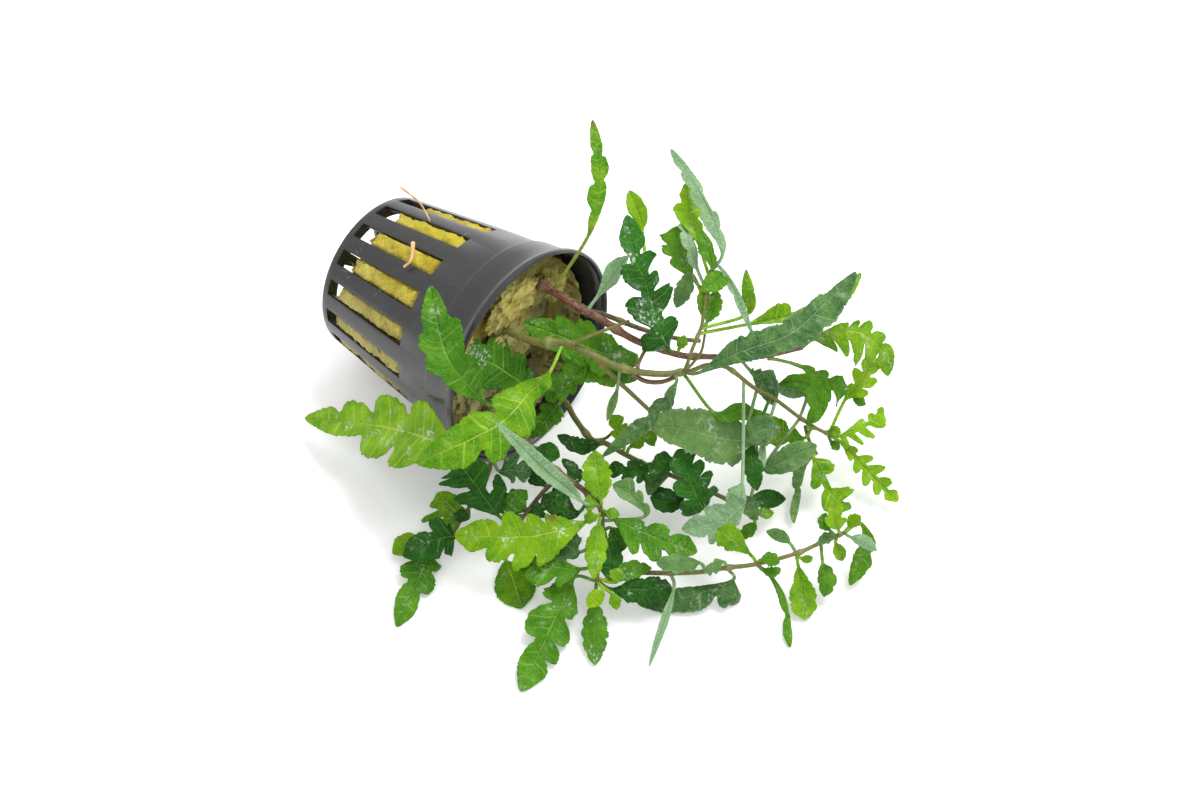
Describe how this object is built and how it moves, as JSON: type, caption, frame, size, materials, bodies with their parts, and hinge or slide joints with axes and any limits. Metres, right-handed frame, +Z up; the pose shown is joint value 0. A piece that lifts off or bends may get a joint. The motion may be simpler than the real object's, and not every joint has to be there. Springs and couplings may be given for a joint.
{
  "type": "potted aquarium plant",
  "caption": "Lobed-leaf water plant growing from torn mineral wool in a slotted black net pot that lies on its side.",
  "frame": {"origin": "on the floor under the middle of the plant's box", "axes": "+X to the picture's right, +Y away from the viewer, +Z up from the floor the pot lies on"},
  "size_m": [0.1426, 0.1216, 0.0657],
  "materials": {
    "pot_black": "satin",
    "wool_olive": "matte",
    "root_tan": "satin",
    "stem_brown": "satin",
    "stem_green": "satin",
    "leaf_lime": "satin",
    "leaf_mid": "satin",
    "leaf_dark": "satin",
    "leaf_pale": "matte"
  },
  "bodies": {
    "root": {"net_pot": "pot_black", "wool_plug": "wool_olive", "wool_flap": "wool_olive", "wool_tuft": "wool_olive", "root_top": "root_tan", "root_hook": "root_tan", "root_side": "root_tan", "stem_upper": "stem_brown", "stem_behind": "stem_brown", "stem_main": "stem_green", "stem_shoot": "stem_green", "stem_right": "stem_green", "stem_twig": "stem_green", "stem_front": "stem_brown", "stem_low": "stem_brown", "stem_left": "stem_green", "stem_fork": "stem_brown", "stem_low_right": "stem_brown", "leaf_tall": "leaf_lime", "leaf_pale_up": "leaf_pale", "leaf_dark_up": "leaf_dark", "leaf_yellow_up": "leaf_lime", "leaf_pale_long": "leaf_pale", "leaf_pale_narrow": "leaf_pale", "leaf_far": "leaf_lime", "leaf_big_right": "leaf_mid", "leaf_arch": "leaf_lime", "leaf_fan": "leaf_lime", "leaf_mid_right": "leaf_mid", "leaf_feather_up": "leaf_lime", "leaf_feather_down": "leaf_lime", "leaf_oak": "leaf_lime", "leaf_end": "leaf_mid", "leaf_paddle": "leaf_lime", "leaf_under": "leaf_pale", "leaf_glossy": "leaf_dark", "leaf_broad": "leaf_pale", "leaf_bright_right": "leaf_lime", "leaf_pendant": "leaf_pale", "leaf_maple": "leaf_dark", "leaf_wedge": "leaf_lime", "leaf_long_dull": "leaf_mid", "leaf_top_bright": "leaf_lime", "leaf_left_bright": "leaf_lime", "leaf_right_bright": "leaf_lime", "leaf_down_bright": "leaf_lime", "leaf_hairy_long": "leaf_pale", "leaf_far_left": "leaf_lime", "leaf_big_front": "leaf_lime", "leaf_pot_side": "leaf_mid", "leaf_pot_mouth": "leaf_dark", "leaf_under_main": "leaf_mid", "leaf_deep_dark": "leaf_dark", "leaf_behind_left": "leaf_lime", "leaf_dark_left": "leaf_dark", "leaf_left_tip": "leaf_mid", "leaf_front_tip": "leaf_mid", "leaf_front_round": "leaf_lime", "leaf_front_mid": "leaf_mid", "leaf_front_small": "leaf_mid"}
  },
  "joints": []
}
